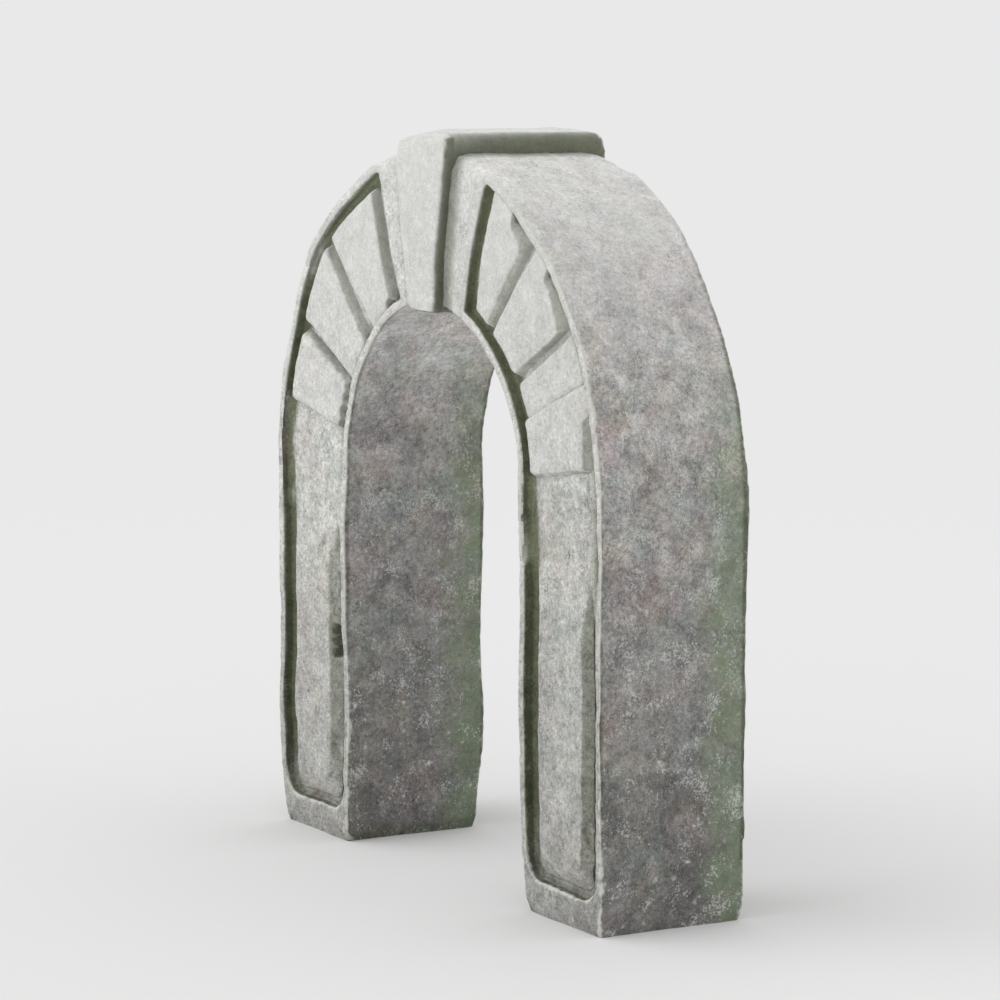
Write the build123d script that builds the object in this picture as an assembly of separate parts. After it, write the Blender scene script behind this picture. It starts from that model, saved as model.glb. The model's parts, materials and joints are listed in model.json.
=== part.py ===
from build123d import *
from collections import namedtuple
import math
import os

# A free-standing stone arch. Two legs carry a round arch, and a keystone closes it.
# Each face has a sunk recess between two rims. Panels fill the recess in the legs,
# and wedge blocks fill it round the arch. X runs to the right, Y to the back, Z up.
# The origin is on the ground, in the middle of the arch. Sizes are in millimetres.

# Overall form
PASSAGE_WIDTH = 2330
SPRING_HEIGHT = 2625
LEG_WIDTH = 1010
WALL_DEPTH = 1050

# Rims and recess
OUTER_RIM_WIDTH = 70
INNER_RIM_WIDTH = 70
RECESS_DEPTH = 80

# Feet: the legs draw in softly towards the ground
FOOT_TAPER_HEIGHT = 900
FOOT_IN_OUTER = 28
FOOT_IN_PASSAGE = 60
FOOT_IN_DEPTH = 17

# Base stones, with the rounded bottom of each recess
BASE_STONE_HEIGHT = 390
SILL_HEIGHT = 205
RECESS_CORNER_RADIUS = 170

# Springers: the stones under the lowest blocks, sunk a little behind the rims
SPRINGER_BED_HEIGHT = 2290
SPRINGER_SETBACK = 56

# Keystone
KEY_HALF_ANGLE = 9.7
KEY_PROJECTION = 80
KEY_RISE = 145
KEY_DROP = 40
KEY_TOP_ROUND = 60
KEY_EDGE_BEVEL = 22

# Crown stones beside the keystone
CROWN_END_ANGLE = 19.5

# Voussoirs: the wedge blocks of the ring. One end of a block leaves an even groove. The
# other end touches its rim at the upper corner and can part from it towards the lower
# one. The groove runs inside the blocks on the right and outside them on the left.
BLOCK_GROOVE = 68
GAP_MIDDLE_SHARE = 0.25
BLOCK_CORNER_ROUND = 26
BLOCK_EDGE_BEVEL = 20
# A block is the angles from the crown, in degrees, between which its outer and its inner
# end lie, how far its face lies behind the rims, and the gap at the lower corner.
Block = namedtuple("Block", "outer_from outer_to inner_from inner_to setback gap")
RIGHT_BLOCKS = (
    Block(22.8, 36.2, 26.4, 34.6, setback=12, gap=72),
    Block(39.4, 55.4, 37.6, 53.4, setback=10, gap=84),
    Block(58.0, 67.0, 56.6, 66.6, setback=30, gap=0),
    Block(67.6, 81.9, 67.2, 81.9, setback=4, gap=74),
)
LEFT_BLOCKS = (
    Block(23.8, 42.4, 26.6, 40.6, setback=12, gap=0),
    Block(45.0, 63.2, 47.4, 62.6, setback=12, gap=0),
    Block(66.0, 79.7, 66.0, 79.7, setback=6, gap=45),
)

# Raised panel in each leg. Its top ramps back to the face of the springer.
PANEL_GROOVE = 152
PANEL_SETBACK = 6
PANEL_RAMP_HEIGHT = 420
PANEL_CORNER_ROUND = 90
PANEL_EDGE_BEVEL = 16

# Corners nearer than this to a level count as lying on it
LEVEL_TOLERANCE = 1

INNER_RADIUS = PASSAGE_WIDTH / 2
OUTER_RADIUS = INNER_RADIUS + LEG_WIDTH
RECESS_INNER = INNER_RADIUS + INNER_RIM_WIDTH
RECESS_OUTER = OUTER_RADIUS - OUTER_RIM_WIDTH
FACE = WALL_DEPTH / 2
RECESS_FACE = FACE - RECESS_DEPTH
SPRINGER_FACE = FACE - SPRINGER_SETBACK
SPRING_ANGLE = 90


def front_plane(y):
    """The upright plane at depth y that is drawn on as X and Z."""
    return Plane(origin=(0, y, 0), x_dir=(1, 0, 0), z_dir=(0, -1, 0))


def through(face_sketch, front, back):
    """Push a face drawn in X and Z through the wall, from depth front to depth back."""
    placed = front_plane(back) * face_sketch
    return extrude(placed, amount=back - front)


def arch_outline(radius, foot_shift):
    """The round-headed outline of this radius. Its feet step in by foot_shift."""
    spring, taper = SPRING_HEIGHT, FOOT_TAPER_HEIGHT
    foot = radius - foot_shift
    right = Line((radius, spring), (radius, taper))
    right_foot = Bezier((radius, taper), (radius, taper / 2), (foot, 0))
    ground = Line((foot, 0), (-foot, 0))
    left_foot = Bezier((-foot, 0), (-radius, taper / 2), (-radius, taper))
    left = Line((-radius, taper), (-radius, spring))
    head = ThreePointArc((-radius, spring), (0, spring + radius), (radius, spring))
    return make_face([right, right_foot, ground, left_foot, left, head])


def outer_outline(inset=0):
    return arch_outline(OUTER_RADIUS - inset, FOOT_IN_OUTER)


def passage_outline(grow=0):
    return arch_outline(INNER_RADIUS + grow, -FOOT_IN_PASSAGE)


def side_box(side, low, high):
    """A tall rectangle in X and Z on one side: -1 is left, 1 is right."""
    reach = 2 * OUTER_RADIUS
    middle = Location((side * reach / 2, (low + high) / 2))
    return middle * Rectangle(reach, high - low)


def ray(angle, radius):
    """The point of the ring at this angle from the crown, to the right."""
    turn = math.radians(angle)
    return (radius * math.sin(turn), SPRING_HEIGHT + radius * math.cos(turn))


def ring_sector(start, end, inner, outer):
    """A piece of the ring between two angles from the crown and two radii."""
    middle = (start + end) / 2
    lower = ThreePointArc(ray(start, inner), ray(middle, inner), ray(end, inner))
    lower_end = Line(ray(end, inner), ray(end, outer))
    upper = ThreePointArc(ray(end, outer), ray(middle, outer), ray(start, outer))
    upper_end = Line(ray(start, outer), ray(start, inner))
    return make_face([lower, lower_end, upper, upper_end])


def mirrored(shape, side):
    """The piece as drawn for the right side, or its mirror image for the left."""
    return shape if side > 0 else mirror(shape, about=Plane.YZ)


def depth_envelope():
    """The wall seen from its side: it draws in a little towards the ground."""
    taper, foot, top = FOOT_TAPER_HEIGHT, FACE - FOOT_IN_DEPTH, SPRING_HEIGHT
    back_foot = Bezier((foot, 0), (FACE, taper / 2), (FACE, taper))
    back = Line((FACE, taper), (FACE, top))
    lid = Line((FACE, top), (-FACE, top))
    front = Line((-FACE, top), (-FACE, taper))
    front_foot = Bezier((-FACE, taper), (-FACE, taper / 2), (-foot, 0))
    ground = Line((-foot, 0), (foot, 0))
    profile = make_face([back_foot, back, lid, front, front_foot, ground])
    return extrude(Plane.YZ * profile, amount=2 * OUTER_RADIUS, both=True)


def only_solid(shape):
    return shape.solids()[0]


def recess_outline(low, high):
    """The recess of the right leg between two heights."""
    band = outer_outline(OUTER_RIM_WIDTH) - passage_outline(INNER_RIM_WIDTH)
    return band & side_box(1, low, high)


def corners_at(face_sketch, level):
    return [v for v in face_sketch.vertices() if abs(v.Y - level) < LEVEL_TOLERANCE]


def base_stone(side, envelope):
    """The foot of a leg, with the rounded bottom of the recess cut in both faces."""
    plan = outer_outline() - passage_outline()
    block = through(plan & side_box(1, 0, BASE_STONE_HEIGHT), -FACE, FACE) & envelope
    recess = recess_outline(SILL_HEIGHT, SPRING_HEIGHT)
    recess = fillet(corners_at(recess, SILL_HEIGHT), RECESS_CORNER_RADIUS)
    recess = recess & side_box(1, 0, BASE_STONE_HEIGHT)
    block -= through(recess, -FACE, -RECESS_FACE)
    block -= through(recess, RECESS_FACE, FACE)
    return mirrored(only_solid(block), side)


def pier_bands(side, envelope):
    """The two through bands of a leg. Their edges are the rims of the recess."""
    leg = side_box(1, BASE_STONE_HEIGHT, SPRING_HEIGHT)
    outer = (outer_outline() - outer_outline(OUTER_RIM_WIDTH)) & leg
    inner = (passage_outline(INNER_RIM_WIDTH) - passage_outline()) & leg
    for outline in (outer, inner):
        band = through(outline, -FACE, FACE) & envelope
        yield mirrored(only_solid(band), side)


def pier_core(side):
    """The stone between the bands. Its faces are the floor of the recess."""
    outline = recess_outline(BASE_STONE_HEIGHT, SPRINGER_BED_HEIGHT)
    return mirrored(only_solid(through(outline, -RECESS_FACE, RECESS_FACE)), side)


def springer(side, blocks):
    """The stone that the ring starts on, from its level bed to its radial top."""
    outline = recess_outline(SPRINGER_BED_HEIGHT, SPRING_HEIGHT)
    outline += ring_sector(ring_end(blocks), SPRING_ANGLE, RECESS_INNER, RECESS_OUTER)
    return mirrored(only_solid(through(outline, -SPRINGER_FACE, SPRINGER_FACE)), side)


def arch_piece(side, end, inner, outer, reach):
    """One layer of the arch on one side, from the crown stone down to an angle."""
    sector = ring_sector(CROWN_END_ANGLE, end, inner, outer)
    return mirrored(only_solid(through(sector, -reach, reach)), side)


def keystone():
    """The wedge that locks the arch, proud of both faces and of the top."""
    low_x, low_z = ray(KEY_HALF_ANGLE, INNER_RADIUS - KEY_DROP)
    top_x, top_z = ray(KEY_HALF_ANGLE, OUTER_RADIUS + KEY_RISE)
    corners = Polyline((low_x, low_z), (top_x, top_z), (-top_x, top_z), (-low_x, low_z), close=True)
    outline = fillet(corners_at(make_face(corners), top_z), KEY_TOP_ROUND)
    reach = FACE + KEY_PROJECTION
    stone = only_solid(through(outline, -reach, reach))
    along_y = stone.faces().sort_by(Axis.Y)
    return chamfer(along_y[0].edges() + along_y[-1].edges(), KEY_EDGE_BEVEL)


def crown_stone(side):
    """The stone beside the keystone, flush with the rims."""
    sector = ring_sector(KEY_HALF_ANGLE, CROWN_END_ANGLE, INNER_RADIUS, OUTER_RADIUS)
    return mirrored(only_solid(through(sector, -FACE, FACE)), side)


def block_end(start, end, rim, gaps):
    """The curved end of a block. The gaps to the rim are those at the upper corner, in
    the middle and at the lower corner, and below zero where the rim lies outside."""
    angles = (start, (start + end) / 2, end)
    return ThreePointArc(*[ray(angle, rim + gap) for angle, gap in zip(angles, gaps)])


def wedge_block(block, groove_inside):
    """One block of the ring on the front right, standing on the core's face."""
    even = (BLOCK_GROOVE, BLOCK_GROOVE, BLOCK_GROOVE)
    parting = (0, block.gap * GAP_MIDDLE_SHARE, block.gap)
    inner_gaps, outer_gaps = (even, parting) if groove_inside else (parting, even)
    inner = block_end(block.inner_from, block.inner_to, RECESS_INNER, inner_gaps)
    outer = block_end(block.outer_from, block.outer_to, RECESS_OUTER, [-gap for gap in outer_gaps])
    upper = Line(outer @ 0, inner @ 0)
    lower = Line(inner @ 1, outer @ 1)
    outline = make_face([inner, lower, outer, upper])
    outline = fillet(outline.vertices(), BLOCK_CORNER_ROUND)
    stone = only_solid(through(outline, -FACE + block.setback, -RECESS_FACE))
    return chamfer(stone.faces().sort_by(Axis.Y)[0].edges(), BLOCK_EDGE_BEVEL)


def ring_blocks(side, blocks):
    """The front blocks of one side, from the crown down."""
    for block in blocks:
        yield mirrored(wedge_block(block, groove_inside=side > 0), side)


def ring_end(blocks):
    """The angle where the lowest block ends and the springer begins."""
    return blocks[-1].outer_to


def panel_side_cut():
    """What the ramp at the top of a panel takes away, seen from the wall's side."""
    top = SPRINGER_BED_HEIGHT
    low = (-FACE + PANEL_SETBACK, top - PANEL_RAMP_HEIGHT)
    high = (-SPRINGER_FACE, top)
    outside = -2 * FACE
    cut = make_face(Polyline(low, high, (outside, top), (outside, low[1]), low))
    return extrude(Plane.YZ * cut, amount=2 * OUTER_RADIUS, both=True)


def leg_panel(side):
    """The raised panel in the front recess of a leg, below the springer."""
    groove = PANEL_GROOVE
    band = outer_outline(OUTER_RIM_WIDTH + groove) - passage_outline(INNER_RIM_WIDTH + groove)
    low = SILL_HEIGHT + groove
    outline = band & side_box(1, low, SPRINGER_BED_HEIGHT)
    outline = fillet(corners_at(outline, low), PANEL_CORNER_ROUND)
    slab = only_solid(through(outline, -FACE + PANEL_SETBACK, -RECESS_FACE))
    slab = chamfer(slab.faces().sort_by(Axis.Y)[0].edges(), PANEL_EDGE_BEVEL)
    return mirrored(only_solid(slab - panel_side_cut()), side)


def build_parts():
    parts = {"keystone": keystone()}
    envelope = depth_envelope()
    blocks = {"left": LEFT_BLOCKS, "right": RIGHT_BLOCKS}
    for name, side in (("left", -1), ("right", 1)):
        parts[f"{name}_base_stone"] = base_stone(side, envelope)
        outer_band, inner_band = pier_bands(side, envelope)
        parts[f"{name}_pier_outer_band"] = outer_band
        parts[f"{name}_pier_inner_band"] = inner_band
        parts[f"{name}_pier_core"] = pier_core(side)
        parts[f"{name}_springer"] = springer(side, blocks[name])
        layers = {
            "arch_outer_band": (SPRING_ANGLE, RECESS_OUTER, OUTER_RADIUS, FACE),
            "soffit_band": (SPRING_ANGLE, INNER_RADIUS, RECESS_INNER, FACE),
            "arch_core": (ring_end(blocks[name]), RECESS_INNER, RECESS_OUTER, RECESS_FACE),
        }
        for layer, sizes in layers.items():
            parts[f"{name}_{layer}"] = arch_piece(side, *sizes)
        parts[f"{name}_crown_stone"] = crown_stone(side)
        panel = leg_panel(side)
        parts[f"front_{name}_panel"] = panel
        parts[f"back_{name}_panel"] = mirror(panel, about=Plane.XZ)
        for number, block in enumerate(ring_blocks(side, blocks[name]), 1):
            parts[f"front_{name}_voussoir_{number}"] = block
            parts[f"back_{name}_voussoir_{number}"] = mirror(block, about=Plane.XZ)
    return parts


os.makedirs("parts", exist_ok=True)
for node, shape in build_parts().items():
    export_step(shape, f"parts/{node}.step")
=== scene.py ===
# %% [markdown]
# A weathered stone arch. Two legs carry a round arch with a proud keystone. Each face has
# a rim round its outer and inner edge, and between the rims the stone is cut back: panels
# stand in the legs, and wedge blocks (voussoirs) stand round the ring.
# The frame holds each stone at its true size and place. Here the stones get what time gave
# them: soft arrises, shallow dents, lichen, algae and dirt in the hollows. Their colour also
# holds painted light: paler fronts and undersides, a painted highlight on the arrises, and
# painted shade in the hollows, in the recesses and round the keystone.

# %% Load the frame
import json
import math
from collections import namedtuple

import bpy
import numpy as np
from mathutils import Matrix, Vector

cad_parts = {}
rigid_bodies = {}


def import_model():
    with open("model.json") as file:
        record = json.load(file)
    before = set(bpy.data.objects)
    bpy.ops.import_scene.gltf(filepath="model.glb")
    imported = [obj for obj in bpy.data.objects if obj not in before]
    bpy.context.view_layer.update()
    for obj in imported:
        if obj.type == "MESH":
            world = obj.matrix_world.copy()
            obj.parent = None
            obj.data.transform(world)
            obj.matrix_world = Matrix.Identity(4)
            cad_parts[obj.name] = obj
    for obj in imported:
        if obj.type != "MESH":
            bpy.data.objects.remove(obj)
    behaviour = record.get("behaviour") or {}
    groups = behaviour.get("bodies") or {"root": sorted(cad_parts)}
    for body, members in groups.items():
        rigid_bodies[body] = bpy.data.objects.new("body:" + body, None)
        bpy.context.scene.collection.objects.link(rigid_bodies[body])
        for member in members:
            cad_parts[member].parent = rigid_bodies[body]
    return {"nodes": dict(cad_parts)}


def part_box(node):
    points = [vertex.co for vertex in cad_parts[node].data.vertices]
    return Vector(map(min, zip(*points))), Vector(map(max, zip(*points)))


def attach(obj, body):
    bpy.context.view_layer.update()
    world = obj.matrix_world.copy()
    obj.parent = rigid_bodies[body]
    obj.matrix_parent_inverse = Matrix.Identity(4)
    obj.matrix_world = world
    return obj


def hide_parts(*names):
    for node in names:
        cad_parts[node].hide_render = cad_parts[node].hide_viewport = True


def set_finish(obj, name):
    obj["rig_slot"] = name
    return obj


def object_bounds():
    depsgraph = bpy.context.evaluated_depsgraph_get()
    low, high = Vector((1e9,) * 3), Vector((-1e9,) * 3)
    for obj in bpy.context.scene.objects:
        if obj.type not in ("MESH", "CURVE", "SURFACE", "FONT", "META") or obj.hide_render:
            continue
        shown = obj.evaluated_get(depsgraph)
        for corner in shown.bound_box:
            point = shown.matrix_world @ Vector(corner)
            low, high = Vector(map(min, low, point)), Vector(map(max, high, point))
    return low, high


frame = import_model()
cad_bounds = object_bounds()
print("the frame holds", len(frame["nodes"]), "stones")

# %% [markdown]
# The finish needs to know where things are: the springing line, where the round part
# starts, the two radii of the ring, the wall's front face and the floor of the recess.
# All of them are read from the frame's own boxes, so they follow the stones.

# %% Sizes read from the frame
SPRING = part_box("right_soffit_band")[0].z
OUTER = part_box("right_arch_outer_band")[1].x
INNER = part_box("right_pier_inner_band")[0].x
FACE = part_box("right_crown_stone")[1].y
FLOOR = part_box("right_pier_core")[1].y
BASE_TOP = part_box("right_base_stone")[1].z
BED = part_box("right_springer")[0].z
BED_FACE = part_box("right_springer")[1].y
KEY_ANGLE = math.asin(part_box("right_crown_stone")[0].x / INNER)
CROWN = SPRING + OUTER
print(f"springing at {SPRING:.3f} m, radii {INNER:.3f} and {OUTER:.3f} m, faces at {FACE:.3f} m")

# %% [markdown]
# Most steps act on what is selected, and the frame leaves its stones selected. So each
# step first deselects all and picks its own object. The other helpers add a modifier and
# apply it, and enter edit mode with the points that a step is about.

# %% Helpers for picking and applying
def pick(*objects):
    bpy.ops.object.select_all(action="DESELECT")
    for each in objects:
        each.select_set(True)
    bpy.context.view_layer.objects.active = objects[0]


def apply_modifier(piece, kind, **settings):
    pick(piece)
    modifier = piece.modifiers.new(kind.title(), kind)
    for name, value in settings.items():
        setattr(modifier, name, value)
    bpy.ops.object.modifier_apply(modifier=modifier.name)


def edit(piece, action="SELECT"):
    pick(piece)
    bpy.ops.object.mode_set(mode="EDIT")
    bpy.ops.mesh.select_mode(type="VERT")
    bpy.ops.mesh.select_all(action=action)


def leave_edit():
    bpy.ops.object.mode_set(mode="OBJECT")


def edit_points(piece, chosen):
    """Enter edit mode with only these points selected."""
    edit(piece, "DESELECT")
    leave_edit()
    piece.data.vertices.foreach_set("select", chosen)
    bpy.ops.object.mode_set(mode="EDIT")


def move_points(piece, chosen, offset):
    edit_points(piece, chosen)
    bpy.ops.transform.translate(value=offset)
    leave_edit()


def soften_points(piece, chosen, times):
    edit_points(piece, chosen)
    bpy.ops.mesh.vertices_smooth(factor=0.5, repeat=times)
    leave_edit()


def points_of(piece):
    flat = np.empty(len(piece.data.vertices) * 3, np.float32)
    piece.data.vertices.foreach_get("co", flat)
    return flat.reshape(-1, 3)


def ramp_up(values, start, end):
    """Smoothly from 0 at start to 1 at end, for arrays."""
    share = np.clip((values - start) / (end - start), 0, 1)
    return share * share * (3 - 2 * share)


def triangles_of(piece):
    return sum(len(face.vertices) - 2 for face in piece.data.polygons)


# %% [markdown]
# The bands, cores, springers, crown stones and base stones of the real arch have grown
# together: no joint shows on its sides or under the arch. They could each be dressed
# alone, but every rounded edge would then draw a seam that the arch doesn't have. So the
# stones of each side are copied, the loose triangles of each copy are merged, and the
# copies are joined. A voxel remesh later turns them into one skin of even squares. Every
# copy but the keystone's is a few millimetres thicker than its stone, because rounding the
# arrises makes the arch look narrower. On the right it only grows to the back. The right
# crown stone also reaches a little further towards the first voussoir.

# %% Copy stones from the frame
MERGE_DISTANCE = 0.0002
FACE_ROOM = 0.012
CROWN_REACH = 0.04
WIDER_CROWN = "right_crown_stone"
SIDES = {"left": -1, "right": 1}
BODY_PARTS = ("crown_stone", "base_stone", "pier_outer_band", "pier_inner_band", "pier_core",
              "springer", "arch_outer_band", "soffit_band", "arch_core")


def copy_of(node, name):
    """A merged copy of one stone."""
    copy = bpy.data.objects.new(name, frame["nodes"][node].data.copy())
    bpy.context.scene.collection.objects.link(copy)
    copy.data.materials.clear()
    edit(copy)
    bpy.ops.mesh.remove_doubles(threshold=MERGE_DISTANCE)
    leave_edit()
    return copy


def widen_crown_stone(stone_copy):
    """Push the far side of a right crown stone on along the ring."""
    points = points_of(stone_copy)
    angles = np.arctan2(points[:, 0], points[:, 2] - SPRING)
    far_side = angles > angles.max() - math.radians(0.5)
    end = math.atan2(points[far_side][:, 0].mean(), (points[far_side][:, 2] - SPRING).mean())
    move_points(stone_copy, far_side, (CROWN_REACH * math.cos(end), 0, -CROWN_REACH * math.sin(end)))
    print("a crown stone ends", round(math.degrees(end), 1), "degrees from the crown")


def cast_of(name, nodes):
    """Copies of these stones, joined to one object and a little thicker."""
    copies = {node: copy_of(node, name) for node in nodes}
    if WIDER_CROWN in copies:
        widen_crown_stone(copies[WIDER_CROWN])
    cast = copies[nodes[0]]
    pick(*copies.values())
    if len(copies) > 1:
        bpy.ops.object.join()
    cast.name = name
    if name != "keystone_stone":
        edit(cast)
        kept_face = -FACE if "right" in name else 0
        bpy.ops.transform.resize(value=(1, 1 + FACE_ROOM / FACE, 1), center_override=(0, kept_face, 0))
        leave_edit()
    return cast


bodies = {side: cast_of(side + "_body", [f"{side}_{part}" for part in BODY_PARTS]) for side in SIDES}
print("joined", len(BODY_PARTS), "stones on each side")

# %% [markdown]
# Wear lifts and rounds every face, also those that should stay tight. So the undersides
# are first pulled down, to be cut level again at the end, and each crown stone is pushed
# a little way into the keystone.

# %% Spare stone where faces have to meet
LEVEL = 0.001
FOOT_SPARE = 0.025
TONGUE = 0.06


def key_plane_distance(points):
    """How far each point lies from the plane of the keystone's side."""
    return np.abs(points[:, 0]) * math.cos(KEY_ANGLE) - (points[:, 2] - SPRING) * math.sin(KEY_ANGLE)


for side, sign in SIDES.items():
    body = bodies[side]
    move_points(body, points_of(body)[:, 2] < LEVEL, (0, 0, -FOOT_SPARE))
    at_key = np.abs(key_plane_distance(points_of(body))) < LEVEL
    move_points(body, at_key, (-sign * TONGUE * math.cos(KEY_ANGLE), 0, TONGUE * math.sin(KEY_ANGLE)))
    print(side, "body: lowest point", round(float(points_of(body)[:, 2].min()), 3),
          "and", int(at_key.sum()), "points pushed into the keystone")

# %% [markdown]
# A voxel of 14 mm is small beside the 70 mm rims, and keeps each piece under the number
# of triangles that it may have. Smoothing then rounds every arris, as rain does.

# %% One skin for each side, with soft arrises
BODY_VOXEL = 0.014
BODY_SOFTENING = 5


def skin(piece, voxel, softening):
    apply_modifier(piece, "REMESH", mode="VOXEL", voxel_size=voxel)
    apply_modifier(piece, "SMOOTH", factor=0.5, iterations=softening)
    print(piece.name, "has", triangles_of(piece), "triangles")


for body in bodies.values():
    skin(body, BODY_VOXEL, BODY_SOFTENING)

# %% [markdown]
# Some places are worn much more than the rest. The arris between the ring's face and its
# top has almost gone beside the keystone, and the feet are rounded where they stand. And
# below each springer the groove on the right of the panel doesn't end at a ledge: its
# floor rises softly until it is level with the springer's face. The groove on the left
# runs on past the springer and into the ring, though less deep. The back repeats this,
# turned half round. Each place is picked by where its points lie, then smoothed, pushed
# along the normals or drawn in, so the even squares of the skin stay as they are.

# %% Soften the crown and let the grooves fade out
SOFT_HEIGHT = SPRING + 0.93 * OUTER
SOFT_REACH = 0.10
SOFT_PASSES, LEDGE_PASSES = 70, 40
FADE_HEIGHT = 0.50
FLOOR_REACH = 0.03
RECESS_MARGIN = 0.05
LEDGE_REACH = 0.07
LEFT_GROOVE = (-0.82, -0.64)
GROOVE_TOP = SPRING + 0.42
GROOVE_FADE = 0.1
GROOVE_LAP = 0.02
GROOVE_SHARE = 0.6
LEG_MIDDLE = (INNER + OUTER) / 2
FOOT_DRAW = 0.045
FOOT_ROUND = 0.13
FOOT_LEVEL = 0.004


def in_recess(points):
    """Points between the two rims and behind the faces."""
    across = np.hypot(points[:, 0], np.maximum(points[:, 2] - SPRING, 0))
    between = (across > INNER + RECESS_MARGIN) & (across < OUTER - RECESS_MARGIN)
    return between & (np.abs(points[:, 1]) < FACE)


def to_the_right(points, sign):
    """From -1 to 1 across a leg, seen by someone who looks at that face."""
    radius = np.hypot(points[:, 0], np.maximum(points[:, 2] - SPRING, 0))
    return sign * (radius - LEG_MIDDLE) * -np.sign(points[:, 1]) / (OUTER - LEG_MIDDLE)


def push(body, name, share, distance):
    """Displace points along their normals, each by its share of the distance."""
    group = body.vertex_groups.new(name=name)
    for index in np.flatnonzero(share > 0):
        group.add([int(index)], float(share[index]), "REPLACE")
    apply_modifier(body, "DISPLACE", vertex_group=group.name, mid_level=0, strength=distance)
    print(body.name, name, int((share > 0).sum()), "points")


for side, body in bodies.items():
    points = points_of(body)
    outermost = np.hypot(points[:, 0], points[:, 2] - SPRING) > OUTER - SOFT_REACH
    at_face = np.abs(points[:, 1]) > FACE - SOFT_REACH
    soften_points(body, (points[:, 2] > SOFT_HEIGHT) & outermost & at_face, SOFT_PASSES)

    points = points_of(body)
    hand = to_the_right(points, SIDES[side])
    depth = FLOOR + FLOOR_REACH - np.abs(points[:, 1])
    share = ramp_up(points[:, 2], BED - FADE_HEIGHT, BED) * np.clip(depth / (FLOOR_REACH / 2), 0, 1)
    share *= ramp_up(hand, *LEFT_GROOVE)
    below_bed = in_recess(points) & (points[:, 2] < BED)
    push(body, "fading floor", np.where(below_bed, share, 0), BED_FACE - FLOOR)

    points = points_of(body)
    hand = to_the_right(points, SIDES[side])
    share = 1 - ramp_up(hand, *LEFT_GROOVE)
    share *= ramp_up(points[:, 2], GROOVE_TOP, GROOVE_TOP - GROOVE_FADE)
    above_bed = in_recess(points) & (points[:, 2] > BED - GROOVE_LAP)
    push(body, "groove past the springer", np.where(above_bed, share, 0), GROOVE_SHARE * (FLOOR - BED_FACE))

    points = points_of(body)
    ledge = in_recess(points) & (np.abs(points[:, 2] - BED) < LEDGE_REACH)
    soften_points(body, ledge, LEDGE_PASSES)

    edit_points(body, points_of(body)[:, 2] < FOOT_LEVEL)
    bpy.ops.transform.resize(
        value=(1 - FOOT_DRAW, 1 - FOOT_DRAW, 1), center_override=(SIDES[side] * LEG_MIDDLE, 0, 0),
        use_proportional_edit=True, proportional_edit_falloff="SHARP", proportional_size=FOOT_ROUND)
    leave_edit()

# %% [markdown]
# Worn stone is never flat. A broad swell moves whole stretches a few millimetres to and
# fro. It follows the place in space, so that neighbours swell together. Then two layers of
# dents follow the surface: some as large as a hand, and small pocks. They could be sculpted
# by hand, but cloud textures on Displace modifiers give the same dents each time.

# %% Swell, dents and pocks
def cloud(name, size, depth, kind="GRAYSCALE"):
    texture = bpy.data.textures.new(name, "CLOUDS")
    texture.noise_scale = size
    texture.noise_depth = depth
    texture.cloud_type = kind
    return texture


SWELL = cloud("broad swell", 0.8, 1, "COLOR")
SWELL_STRENGTH = 0.05
DENTS = ((cloud("hand dents", 0.16, 2), 0.013), (cloud("small pocks", 0.045, 1), 0.006))
DENT_LEVEL = 0.54
EASE = 0.008


def keep_inside_frame(piece):
    """Points that swell past the frame's box are eased back inside it."""
    low, high = np.array(cad_bounds[0]), np.array(cad_bounds[1])
    low[2] -= FOOT_SPARE
    middle, reach = (low + high) / 2, (high - low) / 2 - EASE
    offset = points_of(piece) - middle
    over = np.maximum(np.abs(offset) - reach, 0)
    eased = np.minimum(np.abs(offset), reach) + EASE * (1 - np.exp(-over / EASE))
    piece.data.vertices.foreach_set("co", (middle + np.sign(offset) * eased).ravel())
    piece.data.update()


def wear(piece, share=1.0):
    apply_modifier(piece, "DISPLACE", texture=SWELL, texture_coords="LOCAL",
                   direction="RGB_TO_XYZ", mid_level=0.5, strength=SWELL_STRENGTH)
    for texture, depth in DENTS:
        apply_modifier(piece, "DISPLACE", texture=texture, texture_coords="LOCAL",
                       mid_level=DENT_LEVEL, strength=depth * share)
    keep_inside_frame(piece)
    pick(piece)
    bpy.ops.object.shade_smooth()


# %% [markdown]
# Here and there a bit has broken out where a block meets a rim, and left a dark hole on
# the front. Each hole is pressed in with a soft fall-off, in whichever piece lies there.
# A place is given as the degrees from the crown and the radius from the ring's middle.
# The last three make one long hole beside the left panel.

# %% Broken-out holes on the front
Hole = namedtuple("Hole", "angle radius size")
HOLES = (
    Hole(47.6, 2.09, 0.05), Hole(81.0, 2.08, 0.06), Hole(-20.8, 1.29, 0.05), Hole(-22.6, 1.27, 0.05),
    Hole(-27.0, 1.25, 0.035), Hole(-46.5, 1.25, 0.045), Hole(-66.0, 1.26, 0.05),
    Hole(-70.0, 1.26, 0.05), Hole(-74.5, 1.26, 0.05), Hole(-79.0, 1.26, 0.05),
    Hole(-130.1, 1.842, 0.05), Hole(-131.7, 1.888, 0.05), Hole(-133.2, 1.935, 0.05),
)
HOLE_DEPTH = 0.10
HOLE_CORE = 1 / 3
FRONT_ZONE = 0.15


def press_holes(piece):
    pressed = 0
    for hole in HOLES:
        angle = math.radians(hole.angle)
        x, z = hole.radius * math.sin(angle), SPRING + hole.radius * math.cos(angle)
        points = points_of(piece)
        near = np.hypot(points[:, 0] - x, points[:, 2] - z) < hole.size * HOLE_CORE
        near &= points[:, 1] < FRONT_ZONE - FACE
        if near.any():
            edit_points(piece, near)
            bpy.ops.transform.translate(
                value=(0, HOLE_DEPTH, 0), use_proportional_edit=True,
                proportional_edit_falloff="SMOOTH", proportional_size=hole.size)
            leave_edit()
            pressed += 1
    return pressed


for side, body in bodies.items():
    wear(body)
    print(side, "body has", press_holes(body), "holes")
    print(side, "spans", points_of(body).min(0).round(3), points_of(body).max(0).round(3))
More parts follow.
